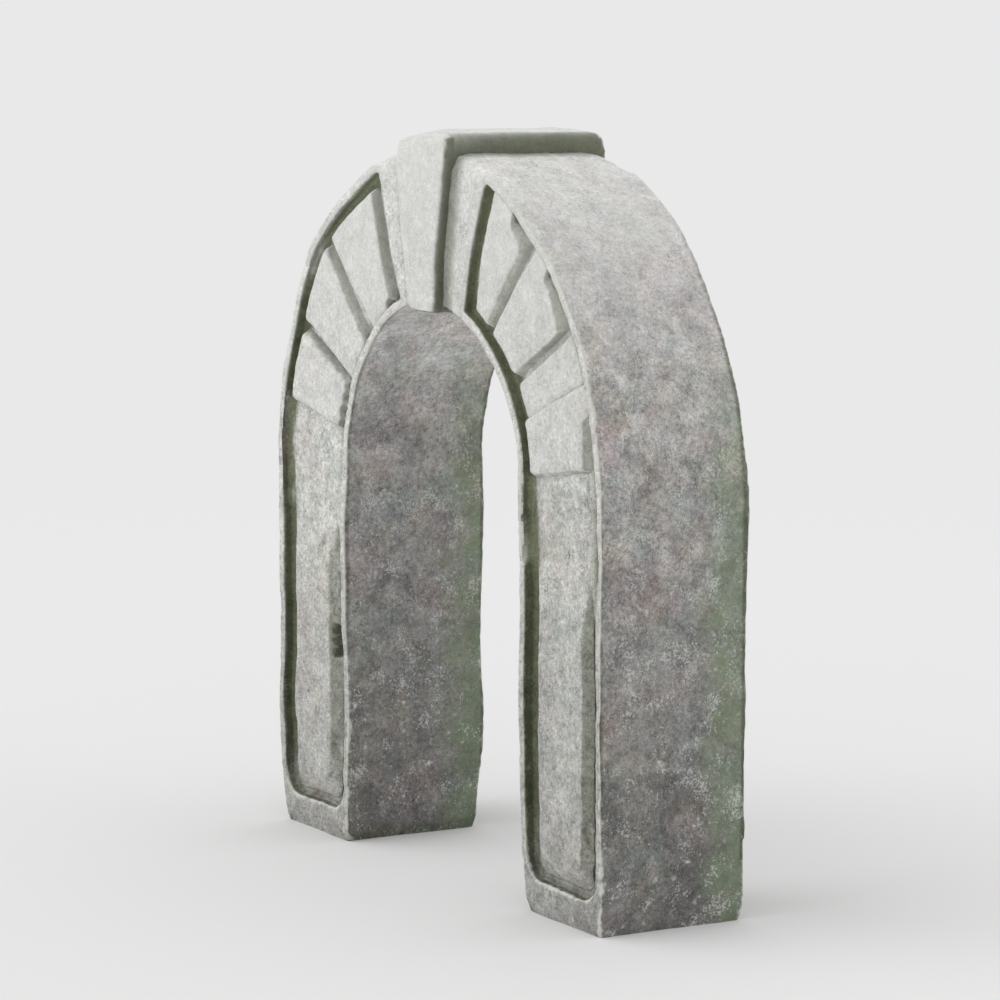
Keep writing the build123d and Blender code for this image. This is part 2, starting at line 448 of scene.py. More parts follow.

# %% [markdown]
# Lichen, dirt, wear and painted light follow the form: arrises are paler, partly rubbed
# and partly a painted highlight, and hollows are darker, partly damp dirt and partly painted
# shade. A copy of the piece is smoothed, and each point's distance from the smoothed copy
# says whether it stands out or lies in a hollow. The fine measure finds arrises, the broad
# one finds grooves and recesses. Both are kept with the mesh as attributes.

# %% Measure arrises and hollows
ARRIS_PASSES, HOLLOW_PASSES = 8, 100


def measure_relief(piece, attribute, passes):
    """Above zero in a hollow, below zero on an arris, in metres."""
    smoothed = piece.copy()
    smoothed.data = piece.data.copy()
    bpy.context.scene.collection.objects.link(smoothed)
    apply_modifier(smoothed, "SMOOTH", factor=0.5, iterations=passes)
    normals = np.empty(len(piece.data.vertices) * 3, np.float32)
    piece.data.vertices.foreach_get("normal", normals)
    offset = points_of(smoothed) - points_of(piece)
    depth = (offset * normals.reshape(-1, 3)).sum(axis=1)
    layer = piece.data.attributes.new(attribute, "FLOAT", "POINT")
    layer.data.foreach_set("value", depth.astype(np.float32))
    bpy.data.meshes.remove(smoothed.data)
    return depth


def measure(piece):
    arris = measure_relief(piece, "arris", ARRIS_PASSES)
    hollow = measure_relief(piece, "hollow", HOLLOW_PASSES)
    print(piece.name, "arris", np.percentile(arris, (2, 98)).round(4),
          "hollow", np.percentile(hollow, (2, 98)).round(4))


for body in bodies.values():
    measure(body)

# %% [markdown]
# Each skin is too large to be one piece, so it is cut where the real arch has its beds: on
# top of the base stones and at the springing line. Each cut is filled, so that every
# piece stays a closed mesh, and the corner of the cut is kept sharp.

# %% Cut the skins into feet, legs and arch halves
CUT_ANGLE = math.radians(65)
UP, DOWN = (0, 0, 1), (0, 0, -1)
STRETCHES = {"foot": (0, BASE_TOP), "leg": (BASE_TOP, SPRING), "arch": (SPRING, 2 * CROWN)}


def stretch_of(body, name, bottom, top):
    """A copy of the body between two heights."""
    piece = body.copy()
    piece.data = body.data.copy()
    piece.name = name
    bpy.context.scene.collection.objects.link(piece)
    for height, normal in ((bottom, UP), (top, DOWN)):
        edit(piece)
        bpy.ops.mesh.bisect(plane_co=(0, 0, height), plane_no=normal, use_fill=True, clear_inner=True)
        leave_edit()
    pick(piece)
    bpy.ops.object.shade_smooth_by_angle(angle=CUT_ANGLE)
    return piece


pieces = {}
for side, body in bodies.items():
    for stretch, (bottom, top) in STRETCHES.items():
        name = f"{side}_{stretch}"
        pieces[name] = stretch_of(body, name + "_stone", bottom, top)
        print(name, triangles_of(pieces[name]), "triangles")
    bpy.data.objects.remove(body)

# %% [markdown]
# The voussoirs, panels and keystone stay pieces of their own. Each is a merged copy too.
# Its back is pulled a little into the wall, so that the rounding of the skin leaves no gap
# behind it. The sides of a block slope, so the back is also spread: all round on a
# voussoir, and at the sides and the foot of a panel. The front edge of a panel's right side
# is drawn in. On the right half of the ring the outer ends run into the rim at their upper
# corner, and at the lower corner they slope more. The two lowest blocks there close up,
# with no joint between them. The top of a panel runs on into the springer along a ramp.
# The keystone is rounded most of all: its top is smoothed on its own and its left front
# corner pressed down.

# %% Voussoirs, panels and keystone
BEDDING = 0.035
JOINT_SLOPE = 0.038
END_SLOPE = 0.03
FRONT_DRAW = 0.06
RIM_REACH = 0.03
KEY_DRAW = 0.035
KEY_TILT = 0.010
KEY_CORNER = 0.045
KEY_CORNER_CORE, KEY_CORNER_REACH = 0.02, 0.30
KEY_TOP, KEY_TOP_PASSES = 0.13, 50
BLOCK_VOXEL = 0.012
BLOCK_SOFTENING, PANEL_SOFTENING, KEY_SOFTENING = 8, 12, 28
BLOCK_WEAR = 0.8
PANEL_LEFT_SLOPE, PANEL_RIGHT_SLOPE = 0.095, 0.045
PANEL_FOOT_SLOPE = 0.12
PANEL_DRAW = {"left": 0.06, "right": 0.02}
CLOSED_JOINT = "right_voussoir_3"
CLOSED_BY = 0.02
PANEL_RUN = 0.26
PANEL_SINK = 0.031


def back_of(piece):
    depth = np.abs(points_of(piece)[:, 1])
    return depth < depth.min() + LEVEL


def spread_voussoir(piece):
    """Widen the back of a voussoir along the ring and outwards from it."""
    points = points_of(piece)
    back = back_of(piece)
    middle = (points.min(0) + points.max(0)) / 2
    angle = math.atan2(middle[0], middle[2] - SPRING)
    tangent = np.array((math.cos(angle), 0, -math.sin(angle)))
    outwards = np.array((math.sin(angle), 0, math.cos(angle)))
    for direction, reach in ((tangent, JOINT_SLOPE), (outwards, END_SLOPE)):
        along = (points - middle) @ direction
        for sign in (-1, 1):
            move_points(piece, back & (sign * along > 0), tuple(sign * reach * direction))
    lower = (points - middle) @ tangent * np.sign(middle[0]) > 0
    closed = CLOSED_JOINT in piece.name
    on_right = middle[0] * middle[1] < 0
    if on_right:
        outer_end = ~back & ((points - middle) @ outwards > 0)
        drawn = outer_end & lower & (not closed)
        if drawn.any():
            move_points(piece, drawn, tuple(-FRONT_DRAW * outwards))
        move_points(piece, outer_end & ~drawn, tuple(RIM_REACH * outwards))
    if closed:
        move_points(piece, lower, tuple(CLOSED_BY * np.sign(middle[0]) * tangent))


def spread_panel(piece):
    """Widen the back of a panel, and draw in the right edge of its face."""
    points = points_of(piece)
    back = back_of(piece)
    middle = (points.min(0) + points.max(0)) / 2
    draw = PANEL_DRAW["left" if middle[0] < 0 else "right"]
    for sign in (-1, 1):
        side = sign * (points[:, 0] - middle[0]) > 0
        on_right = sign * middle[1] < 0
        slope = PANEL_RIGHT_SLOPE if on_right else PANEL_LEFT_SLOPE
        move_points(piece, back & side, (sign * slope, 0, 0))
        if on_right:
            move_points(piece, ~back & side, (-sign * draw, 0, 0))
    move_points(piece, back & (points[:, 2] < middle[2]), (0, 0, -PANEL_FOOT_SLOPE))


def run_up_panel(piece, inwards):
    """Extrude the top of a panel up and into the springer."""
    edit_points(piece, points_of(piece)[:, 2] > BED - LEVEL)
    bpy.ops.mesh.extrude_region_move(
        TRANSFORM_OT_translate={"value": (0, inwards * PANEL_SINK, PANEL_RUN)})
    leave_edit()


def dress(piece, voxel, softening, share):
    skin(piece, voxel, softening)
    wear(piece, share)
    press_holes(piece)
    measure(piece)
    return piece


def wear_keystone(piece):
    """Draw in the right edge of its face, and let the back of its top sink."""
    for front in (-1, 1):
        points = points_of(piece)
        proud = points[:, 1] * front > FACE + LEVEL
        edge = proud & (points[:, 0] * -front > 0)
        move_points(piece, edge, (KEY_DRAW * front, 0, 0))
    points = points_of(piece)
    move_points(piece, (points[:, 2] > CROWN) & (points[:, 1] > 0), (0, 0, -KEY_TILT))


def round_top(piece):
    """Round the top of the keystone, most of all at its left front corner."""
    points = points_of(piece)
    soften_points(piece, points[:, 2] > points[:, 2].max() - KEY_TOP, KEY_TOP_PASSES)
    points = points_of(piece)
    corner = np.array((points[:, 0].min(), points[:, 1].min(), points[:, 2].max()))
    gap = np.linalg.norm(points - corner, axis=1)
    edit_points(piece, gap < gap.min() + KEY_CORNER_CORE)
    bpy.ops.transform.translate(
        value=(0, 0, -KEY_CORNER), use_proportional_edit=True,
        proportional_edit_falloff="SMOOTH", proportional_size=KEY_CORNER_REACH)
    leave_edit()


for name in sorted(frame["nodes"]):
    piece_name = name + "_stone"
    inwards = -1 if name.startswith("back") else 1
    if "voussoir" in name:
        piece = cast_of(piece_name, [name])
        spread_voussoir(piece)
        move_points(piece, back_of(piece), (0, inwards * BEDDING, 0))
        pieces[name] = dress(piece, BLOCK_VOXEL, BLOCK_SOFTENING, BLOCK_WEAR)
    if "panel" in name:
        piece = cast_of(piece_name, [name])
        spread_panel(piece)
        run_up_panel(piece, inwards)
        move_points(piece, back_of(piece), (0, inwards * BEDDING, 0))
        pieces[name] = dress(piece, BODY_VOXEL, PANEL_SOFTENING, 1.0)
    if name == "keystone":
        piece = cast_of(piece_name, [name])
        wear_keystone(piece)
        skin(piece, BODY_VOXEL, KEY_SOFTENING)
        round_top(piece)
        wear(piece, BLOCK_WEAR)
        measure(piece)
        pieces[name] = piece
print(len(pieces), "pieces,", sum(triangles_of(p) for p in pieces.values()), "triangles")

# %% [markdown]
# Each dressed piece rides on the arch's one body, hides the stones that it stands for and
# names the slot of the record that it takes its finish from.

# %% Tie the pieces to the frame
STRETCH_NODES = {
    "foot": (("base_stone",), "foot_stone"),
    "leg": (("pier_outer_band", "pier_inner_band", "pier_core"), "wall_stone"),
    "arch": (("springer", "arch_outer_band", "soffit_band", "arch_core", "crown_stone"), "wall_stone"),
}


def stands_for(name):
    side, _, stretch = name.partition("_")
    if stretch in STRETCH_NODES:
        parts, slot = STRETCH_NODES[stretch]
        return [f"{side}_{part}" for part in parts], slot
    return [name], "panel_stone" if "panel" in name else "pale_stone"


for name, piece in pieces.items():
    nodes, slot = stands_for(name)
    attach(piece, "root")
    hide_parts(*nodes)
    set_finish(piece, slot)
print("the pieces stand for", sum(len(stands_for(name)[0]) for name in pieces), "stones")

# %% [markdown]
# The finish is built from small node groups, each one effect of age or of painted light:
# mottled grain, broad tints, lichen crusts, algae, dirt with painted shade, and greys with
# painted light. A few helpers add a node, set its values and join its inputs, so that each
# group reads as a short list.

# %% Helpers for shader nodes
def join(tree, socket, value):
    if isinstance(value, bpy.types.NodeSocket):
        tree.links.new(value, socket)
    else:
        socket.default_value = value


def add(tree, kind, settings=None, **inputs):
    """A new node. Inputs are given by socket name, as a value or as a socket to join."""
    made = tree.nodes.new(kind)
    for name, value in (settings or {}).items():
        setattr(made, name, value)
    for name, value in inputs.items():
        join(tree, made.inputs[name.replace("_", " ")], value)
    return made


def maths(tree, operation, *values, clamp=False):
    made = tree.nodes.new("ShaderNodeMath")
    made.operation = operation
    made.use_clamp = clamp
    for socket, value in zip(made.inputs, values):
        join(tree, socket, value)
    return made.outputs[0]


def size_of(tree, value):
    return maths(tree, "ABSOLUTE", value)


def all_of(tree, *masks):
    """The product of the masks, so only where all of them are."""
    made = masks[0]
    for mask in masks[1:]:
        made = maths(tree, "MULTIPLY", made, mask)
    return made


def any_of(tree, *masks):
    """The strongest of the masks at each point."""
    made = masks[0]
    for mask in masks[1:]:
        made = maths(tree, "MAXIMUM", made, mask)
    return made


def fade(tree, value, start, end):
    """Rises smoothly from 0 where value is start to 1 where it is end."""
    made = add(tree, "ShaderNodeMapRange", {"interpolation_type": "SMOOTHSTEP"},
               Value=value, From_Min=start, From_Max=end)
    return made.outputs["Result"]


def blend(tree, factor, first, second, mode="MIX"):
    made = tree.nodes.new("ShaderNodeMix")
    made.data_type = "RGBA"
    made.blend_type = mode
    for socket, value in zip((made.inputs[0], made.inputs[6], made.inputs[7]), (factor, first, second)):
        join(tree, socket, value)
    return made.outputs[2]


def noise(tree, vector, scale, detail=3.0, roughness=0.55):
    made = add(tree, "ShaderNodeTexNoise", None, Vector=vector, Scale=scale, Detail=detail,
               Roughness=roughness)
    return made.outputs["Fac"]


def moved(tree, vector, offset):
    """The vector with an offset, so that the same noise gives another pattern."""
    made = add(tree, "ShaderNodeVectorMath", {"operation": "ADD"})
    tree.links.new(vector, made.inputs[0])
    made.inputs[1].default_value = offset
    return made.outputs[0]


def split(tree, vector):
    return add(tree, "ShaderNodeSeparateXYZ", None, Vector=vector).outputs


SOCKETS = {"float": "NodeSocketFloat", "color": "NodeSocketColor", "vector": "NodeSocketVector"}


def new_group(name, inputs, outputs):
    """An empty node group with named sockets, and its two end nodes."""
    tree = bpy.data.node_groups.new(name, "ShaderNodeTree")
    for label, (kind, value) in inputs.items():
        socket = tree.interface.new_socket(label, in_out="INPUT", socket_type=SOCKETS[kind])
        if value is not None:
            socket.default_value = value
    for label, kind in outputs.items():
        tree.interface.new_socket(label, in_out="OUTPUT", socket_type=SOCKETS[kind])
    return tree, tree.nodes.new("NodeGroupInput").outputs, tree.nodes.new("NodeGroupOutput").inputs


def use(tree, group, **inputs):
    """The group as one node of this tree."""
    made = tree.nodes.new("ShaderNodeGroup")
    made.node_tree = group
    for name, value in inputs.items():
        join(tree, made.inputs[name.replace("_", " ")], value)
    return made.outputs


# %% [markdown]
# Grain: the stone is mottled at three sizes, from crusts as wide as a hand down to single
# grains. The value brightens and darkens the colour, and the height feeds the bump.

# %% Group: grain
grain, given, result = new_group(
    "Stone grain",
    {"Vector": ("vector", None)},
    {"Value": "float", "Height": "float"},
)
coarse = noise(grain, given["Vector"], 8.0, 5.0, 0.65)
middle = noise(grain, moved(grain, given["Vector"], (3.1, 0.7, 1.9)), 34.0, 4.0, 0.7)
fine = noise(grain, moved(grain, given["Vector"], (0.4, 5.2, 2.6)), 120.0, 2.0, 0.7)
mottle = maths(grain, "MULTIPLY_ADD", middle, 0.95, maths(grain, "MULTIPLY", coarse, 0.65))
mottle = maths(grain, "MULTIPLY_ADD", fine, 0.90, mottle)
calm = fade(grain, split(grain, given["Vector"])["Z"], 0.60 * CROWN, 0.98 * CROWN)
calm = maths(grain, "MULTIPLY_ADD", calm, -0.5, 1.0)
grain.links.new(maths(grain, "MULTIPLY", maths(grain, "SUBTRACT", mottle, 1.25), calm), result["Value"])
grain.links.new(maths(grain, "MULTIPLY", mottle, 0.4), result["Height"])
print("grain group has", len(grain.nodes), "nodes")

# %% [markdown]
# Tints: over half a metre or so the grey leans to purple, to teal and to warm brown, as
# damp and minerals have stained it, and some patches are simply darker or paler. The top
# of the arch is washed clean.

# %% Group: tints
tints, given, result = new_group(
    "Stone tints",
    {"Vector": ("vector", None), "Color": ("color", None), "Strength": ("float", 1.0)},
    {"Color": "color"},
)
TINTS = (
    ((0.0, 0.0, 0.0), 2.4, (1.04, 0.945, 0.97, 1.0)),
    ((7.3, 1.9, 4.1), 2.9, (0.87, 0.96, 0.95, 1.0)),
    ((2.7, 8.8, 5.5), 3.3, (1.04, 0.98, 0.90, 1.0)),
    ((5.2, 3.3, 9.7), 2.2, (0.68, 0.67, 0.69, 1.0)),
    ((1.4, 6.1, 3.8), 6.5, (1.25, 1.25, 1.23, 1.0)),
    ((8.2, 0.6, 7.7), 9.0, (0.78, 0.77, 0.77, 1.0)),
)
colour = given["Color"]
clean = fade(tints, split(tints, given["Vector"])["Z"], 0.60 * CROWN, 0.95 * CROWN)
strength = maths(tints, "MULTIPLY", given["Strength"], maths(tints, "MULTIPLY_ADD", clean, -0.75, 1.0))
for offset, scale, tint in TINTS:
    spread = noise(tints, moved(tints, given["Vector"], offset), scale, 6.0, 0.66)
    patch = fade(tints, spread, 0.48, 0.64)
    colour = blend(tints, maths(tints, "MULTIPLY", patch, strength), colour,
                   blend(tints, 1.0, colour, tint, "MULTIPLY"))
tints.links.new(colour, result["Color"])
print("tints group has", len(tints.nodes), "nodes")

# %% [markdown]
# Lichen: small pale crusts gather in loose patches. A fine noise makes the crusts and a
# broad one says where they gather.

# %% Group: lichen
lichen, given, result = new_group(
    "Lichen crusts",
    {"Vector": ("vector", None), "Amount": ("float", 0.5)},
    {"Mask": "float"},
)
crust = noise(lichen, given["Vector"], 62.0, 4.0, 0.72)
patch = noise(lichen, moved(lichen, given["Vector"], (4.4, 2.2, 6.6)), 5.0, 5.0, 0.65)
level = maths(lichen, "MULTIPLY_ADD", patch, -0.8, 1.09)
level = maths(lichen, "SUBTRACT", level, maths(lichen, "MULTIPLY", given["Amount"], 0.2))
lichen.links.new(fade(lichen, crust, level, maths(lichen, "ADD", level, 0.12)), result["Mask"])
print("lichen group has", len(lichen.nodes), "nodes")

# %% [markdown]
# Relief: the form itself steers dirt, wear and painted light. The two attributes measured
# above become two masks: one for arrises that are paler, partly rubbed and partly a painted
# highlight, and one for hollows that are darker, partly dirt and partly painted shade. A
# little noise makes their borders ragged. Arrises that look to the left stay dull, and so
# does the outer rim of the left leg, where algae grow. Two more masks tell the surfaces
# that look to the front or back, and those that look down.

# %% Relief group: arrises, hollows and directions
ARRIS_RANGE = (-0.0009, -0.0034)
HOLLOW_RANGE = (0.003, 0.020)
DULL_RIM = (0.06, 0.10)
relief, given, result = new_group(
    "Relief masks",
    {"Vector": ("vector", None)},
    {"Arris": "float", "Hollow": "float", "Wall": "float", "Groove": "float", "Lip": "float",
     "Frontal": "float", "Under": "float"},
)
place = split(relief, given["Vector"])
facing = split(relief, relief.nodes.new("ShaderNodeNewGeometry").outputs["Normal"])
ragged = maths(relief, "MULTIPLY_ADD", noise(relief, given["Vector"], 14.0, 4.0), 0.008, -0.004)
arris = add(relief, "ShaderNodeAttribute", {"attribute_name": "arris"}).outputs["Fac"]
hollow = add(relief, "ShaderNodeAttribute", {"attribute_name": "hollow"}).outputs["Fac"]
# Paler arrises: partly rubbed by wear, partly a painted highlight.
worn_and_highlit = fade(relief, maths(relief, "ADD", arris, ragged), *ARRIS_RANGE)
# Darker hollows: partly damp dirt, partly painted shade.
hollow_dirt_and_shade = fade(relief, maths(relief, "ADD", hollow, ragged), *HOLLOW_RANGE)
not_left = fade(relief, facing["X"], -0.85, -0.25)
off_left_rim = fade(relief, place["X"], DULL_RIM[0] - OUTER, DULL_RIM[1] - OUTER)
frontal = fade(relief, size_of(relief, facing["Y"]), 0.25, 0.70)
relief.links.new(all_of(relief, worn_and_highlit, not_left, off_left_rim), result["Arris"])
relief.links.new(frontal, result["Frontal"])
# Surfaces that look down; the greys paint them paler, a painted light.
relief.links.new(fade(relief, facing["Z"], -0.2, -0.7), result["Under"])
print("arrises turn pale from", -ARRIS_RANGE[0], "m, hollows dark from", HOLLOW_RANGE[0], "m")

# %% [markdown]
# The walls of the recess are darkened too, partly by dirt and partly by painted shade. They
# lie behind the face, between the two rims, and don't look to the front, or slope sideways.
# The radius is measured from the middle of the ring, and below the springing straight
# across from the middle of the passage, so that one measure serves the ring and both legs.
# The darkening is a little weaker at the feet. One slot beside the left panel is painted
# nearly black, as a painted shadow.

# %% Relief group: walls of the recess and the slot of painted shadow
RIM_EDGE = 0.045
PAINTED_SHADOW_SLOT = (("X", -1.405, 0.025), ("Y", -FACE, 0.25), ("Z", 1.37, 0.09))

above = maths(relief, "MAXIMUM", maths(relief, "SUBTRACT", place["Z"], SPRING), 0.0)
squares = maths(relief, "ADD", maths(relief, "MULTIPLY", place["X"], place["X"]),
                maths(relief, "MULTIPLY", above, above))
radius = maths(relief, "SQRT", squares)
depth = maths(relief, "ADD", size_of(relief, place["Y"]), ragged)


def off_rims(reach, softness):
    """Between the rims, further than this reach from both edges of the arch."""
    return all_of(relief, fade(relief, radius, INNER + reach, INNER + reach + softness),
                  fade(relief, radius, OUTER - reach, OUTER - reach - softness))


def near_rims(reach, softness):
    """Up to this reach from one edge of the arch or the other."""
    return any_of(relief, fade(relief, radius, INNER + reach + softness, INNER + reach),
                  fade(relief, radius, OUTER - reach - softness, OUTER - reach))


between = off_rims(RIM_EDGE, 0.02)
# Recess walls and sideways slopes: darkened partly by dirt, partly by painted shade.
sloping = any_of(relief, maths(relief, "SUBTRACT", 1.0, frontal),
                 fade(relief, size_of(relief, facing["X"]), 0.3, 0.55))
behind_face = fade(relief, depth, FACE + 0.006, FACE - 0.02)
off_foot = fade(relief, place["Z"], BASE_TOP - 0.15, BASE_TOP + 0.3)
off_foot = maths(relief, "MULTIPLY_ADD", off_foot, 0.45, 0.55)
relief.links.new(all_of(relief, behind_face, between, off_foot, sloping), result["Wall"])
# A painted shadow: the slot beside the left panel is painted nearly black.
slot = fade(relief, depth, FACE + 0.01, FACE - 0.015)
for axis, middle, reach in PAINTED_SHADOW_SLOT:
    gap = size_of(relief, maths(relief, "SUBTRACT", place[axis], middle))
    gap = maths(relief, "ADD", gap, ragged)
    slot = all_of(relief, slot, fade(relief, gap, 2 * reach + 0.02, reach))
relief.links.new(any_of(relief, hollow_dirt_and_shade, slot), result["Hollow"])
print(f"the recess runs from radius {INNER + RIM_EDGE:.3f} to {OUTER - RIM_EDGE:.3f} m")

# %% [markdown]
# The floor of the recess is darkened as well, partly by dirt and partly by painted shade,
# most of all in the creases beside the rims. The joints between the blocks and the face of
# the springers are less dark. Only the groove beside each crown stone stays dark over its
# whole length.

# %% Relief group: floor and grooves
LESS_DARK_FROM = (BED - 0.45, BED - 0.15)
BESIDE_CROWN = (0.905, 0.88)

# Recess floor and creases beside the rims: partly dirt, partly painted shade.
floor = all_of(relief, fade(relief, depth, FLOOR + 0.045, FLOOR + 0.02), between)
upright = maths(relief, "DIVIDE", above, radius)
joints = all_of(relief, off_rims(0.13, 0.09), fade(relief, place["Z"], *LESS_DARK_FROM),
                fade(relief, upright, *BESIDE_CROWN))
less_dark = maths(relief, "MULTIPLY_ADD", joints, -0.85, 1.0)
crease = maths(relief, "MULTIPLY_ADD", near_rims(0.12, 0.07), 0.5, 0.5)
beside_rim = all_of(relief, near_rims(0.095, 0.03),
                    fade(relief, depth, FACE - 0.015, FACE - 0.04), between)
groove = any_of(relief, all_of(relief, floor, less_dark, crease), beside_rim)
relief.links.new(all_of(relief, groove, off_foot), result["Groove"])
print("the joints are cleaner above", round(LESS_DARK_FROM[1], 3), "m")

# %% [markdown]
# Last comes the olive darkening round the keystone, partly moss and partly painted shade:
# on its sides where they stand out from the wall, on the top of the ring close to it, and
# as a soft strip of painted shade on both crown stones. The strip follows the plane of the
# keystone's side.

# %% Relief group: moss and painted shade round the keystone
KEY_SHADE = (0.15, 0.01)
TOP_SHADE = (0.8, 0.7)

# The keystone's sides and the ring's top beside it: partly moss, partly painted shade.
proud = all_of(relief, fade(relief, depth, FACE - 0.03, FACE),
               fade(relief, depth, FACE + 0.16, FACE + 0.02))
over_ring = all_of(relief, fade(relief, radius, OUTER - 0.06, OUTER - 0.02),
                   fade(relief, radius, OUTER + 0.24, OUTER - 0.01),
                   fade(relief, size_of(relief, place["X"]), *TOP_SHADE))
turned = fade(relief, size_of(relief, facing["Y"]), 0.97, 0.30)
not_up = fade(relief, facing["Z"], 0.85, 0.40)
lip = all_of(relief, any_of(relief, proud, over_ring), turned, not_up)
from_key = maths(relief, "SUBTRACT",
                 maths(relief, "MULTIPLY", size_of(relief, place["X"]), math.cos(KEY_ANGLE)),
                 maths(relief, "MULTIPLY", above, math.sin(KEY_ANGLE)))
# A soft strip of painted shade on the crown stones beside the keystone.
beside_key = all_of(relief, fade(relief, size_of(relief, from_key), *KEY_SHADE),
                    fade(relief, depth, FACE + 0.03, FACE + 0.01))
relief.links.new(any_of(relief, lip, beside_key), result["Lip"])
print("relief group has", len(relief.nodes), "nodes")

# %% [markdown]
# Algae: green film grows where the stone stays damp: on the back edge of the sides, low
# down, and on the outer rim of the left leg. The mask falls off towards the front and the top.

# %% Group: algae
algae, given, result = new_group(
    "Algae film",
    {"Vector": ("vector", None)},
    {"Mask": "float"},
)
place = split(algae, given["Vector"])
patch = noise(algae, given["Vector"], 3.5, 6.0, 0.68)
drift = maths(algae, "MULTIPLY_ADD", patch, 0.7, -0.35)
backwards = fade(algae, maths(algae, "ADD", place["Y"], drift), 0.25 * FACE, 0.80 * FACE)
lowly = fade(algae, maths(algae, "ADD", place["Z"], drift), 0.84 * CROWN, 0.52 * CROWN)
broken = noise(algae, moved(algae, given["Vector"], (6.0, 1.0, 3.0)), 9.0, 5.0, 0.7)
broken = maths(algae, "MULTIPLY_ADD", fade(algae, broken, 0.35, 0.60), 0.6, 0.4)
leftwards = maths(algae, "MULTIPLY", fade(algae, place["X"], 0.035 - OUTER, -OUTER), 0.9)
film = all_of(algae, any_of(algae, backwards, leftwards), lowly, broken)
algae.links.new(film, result["Mask"])
print("algae group has", len(algae.nodes), "nodes")

# %% [markdown]
# The stone's grey depends on where it is, and holds painted light. Faces that look to the
# front are painted paler than the sides, as painted light, and everything grows paler
# towards the top. Two ramps over the height hold these greys, and the direction of the
# surface chooses between them. The left half of the front is a little paler still, and the
# undersides are painted paler too, a painted light from below.

# %% Group: greys with painted light
def ramp(tree, value, stops):
    made = tree.nodes.new("ShaderNodeValToRGB")
    tree.links.new(value, made.inputs[0])
    elements = made.color_ramp.elements
    while len(elements) < len(stops):
        elements.new(0.5)
    for element, (position, colour) in zip(elements, stops):
        element.position = position
        element.color = (*colour, 1.0)
    return made.outputs["Color"]


# Painted light: the front greys are painted as lit, the side greys as shaded.
FRONT_GREYS_PAINTED_LIT = ((0.0, (0.28, 0.28, 0.265)), (0.09, (0.385, 0.385, 0.365)), (0.30, (0.42, 0.42, 0.40)),
               (0.45, (0.50, 0.50, 0.47)), (0.62, (0.58, 0.58, 0.56)), (1.0, (0.64, 0.64, 0.615)))
SIDE_GREYS_PAINTED_SHADE = ((0.0, (0.185, 0.18, 0.175)), (0.15, (0.22, 0.215, 0.205)), (0.38, (0.29, 0.285, 0.275)),
              (0.60, (0.395, 0.385, 0.375)), (0.82, (0.51, 0.50, 0.49)), (1.0, (0.68, 0.68, 0.66)))
FRONT_PAINTED_LIGHT = 1.17
GAIN_PER_METRE = -0.032
UNDER_PAINTED_LIGHT = 1.5
greys, given, result = new_group(
    "Bleached greys",
    {"Vector": ("vector", None), "Frontal": ("float", 0.0), "Under": ("float", 0.0)},
    {"Color": "color"},
)
place = split(greys, given["Vector"])
height = maths(greys, "DIVIDE", place["Z"], CROWN)
chosen = blend(greys, given["Frontal"], ramp(greys, height, SIDE_GREYS_PAINTED_SHADE), ramp(greys, height, FRONT_GREYS_PAINTED_LIT))
# Painted light: front faces are painted brighter, a little more on the left, and undersides brighter too.
gain = maths(greys, "MULTIPLY_ADD", place["X"], GAIN_PER_METRE, FRONT_PAINTED_LIGHT - 1)
gain = maths(greys, "MULTIPLY_ADD", gain, given["Frontal"], 1.0)
gain = maths(greys, "MULTIPLY_ADD", given["Under"], UNDER_PAINTED_LIGHT - 1, gain)
lit = add(greys, "ShaderNodeVectorMath", {"operation": "SCALE"}, Scale=gain)
greys.links.new(chosen, lit.inputs[0])
greys.links.new(lit.outputs[0], result["Color"])
print("greys group has", len(greys.nodes), "nodes")

# %% [markdown]
# One function builds each stone's material from the groups. The keystone and voussoirs
# carry the palest and calmest crust. Walls, panels and feet share one speckled finish, and
# differ in how pale their arrises are, from wear and painted highlight, and how dark their
# hollows and recesses are, from dirt and painted shade. The tints are weaker on faces that
# look to the front. The shader and its plain numbers stay in the material itself, and the
# groups only feed its colour, roughness and bump.

# %% Materials
ALGAE_GREEN = (0.195, 0.275, 0.15, 1.0)
# The next two colours darken hollows, recess walls and grooves: partly dirt, partly painted shade.
HOLLOW_OLIVE = (0.072, 0.088, 0.040, 1.0)
GRIME_AND_SHADE = (0.27, 0.31, 0.17, 1.0)
# Olive round the keystone: partly moss, partly painted shade.
KEY_MOSS_AND_SHADE_OLIVE = (0.25, 0.27, 0.205, 1.0)
LICHEN_PALE = (0.68, 0.69, 0.67, 1.0)
CRUST_DARK = (0.12, 0.115, 0.115, 1.0)
# Pale arrises: partly wear, partly a painted highlight.
ARRIS_PALE = (0.68, 0.68, 0.63, 1.0)
RUST = (0.20, 0.10, 0.05, 1.0)
RUST_PLACE = (2.05, -FACE, 1.47)
RUST_SIZE = 0.05

FRONT_TINT = 0.45

Finish = namedtuple("Finish", "whiten contrast pale_crust dark_crust tint arris hollow wall groove lip")
PALE = Finish(whiten=0.12, contrast=1.15, pale_crust=0.45, dark_crust=0.25, tint=0.35,
              arris=0.75, hollow=0.7, wall=0.38, groove=0.55, lip=1.0)
WALL = Finish(whiten=0.0, contrast=1.9, pale_crust=0.60, dark_crust=0.45, tint=0.9,
              arris=0.95, hollow=0.8, wall=0.92, groove=0.88, lip=0.68)
FINISHES = {
    "pale_stone": PALE,
    "wall_stone": WALL,
    "panel_stone": WALL._replace(arris=0.75, hollow=0.7, wall=0.5, groove=0.3, lip=0.0),
    "foot_stone": WALL._replace(arris=0.85, lip=0.0),
}


